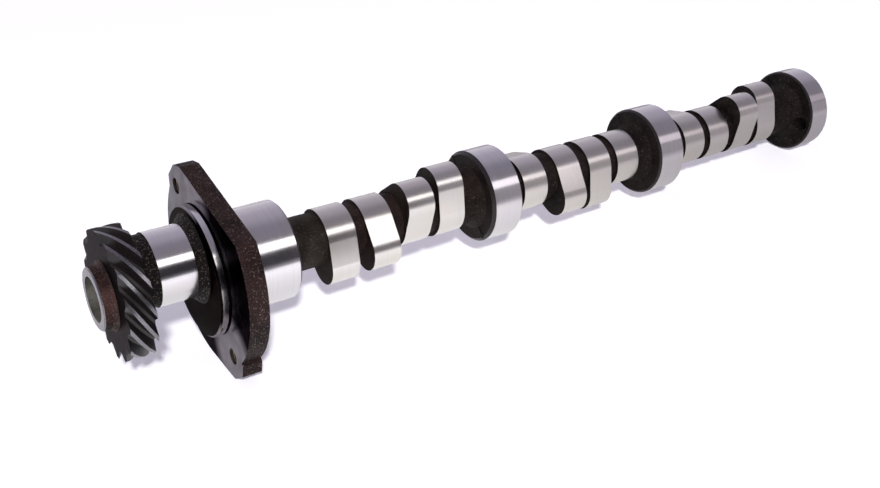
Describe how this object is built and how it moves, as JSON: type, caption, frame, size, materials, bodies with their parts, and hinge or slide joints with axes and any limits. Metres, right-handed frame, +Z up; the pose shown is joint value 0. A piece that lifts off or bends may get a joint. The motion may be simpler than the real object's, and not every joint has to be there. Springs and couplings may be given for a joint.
{
  "type": "engine camshaft",
  "caption": "One-piece ground camshaft with paired cams, four bearing journals, a lugged sprocket flange, an eccentric and a helical drive gear behind a hollow nose.",
  "frame": {"origin": "on the shaft's axis, in the front face of the sprocket flange", "axes": "+X along the shaft towards the rear journal, +Z up, as the shaft lies on the flank of the lower lug and its rear journal"},
  "size_m": [0.4226, 0.0884, 0.0829],
  "materials": {
    "cast_iron": "as cast, with ground journals and cams"
  },
  "bodies": {
    "root": {"camshaft": "cast_iron"}
  },
  "joints": []
}
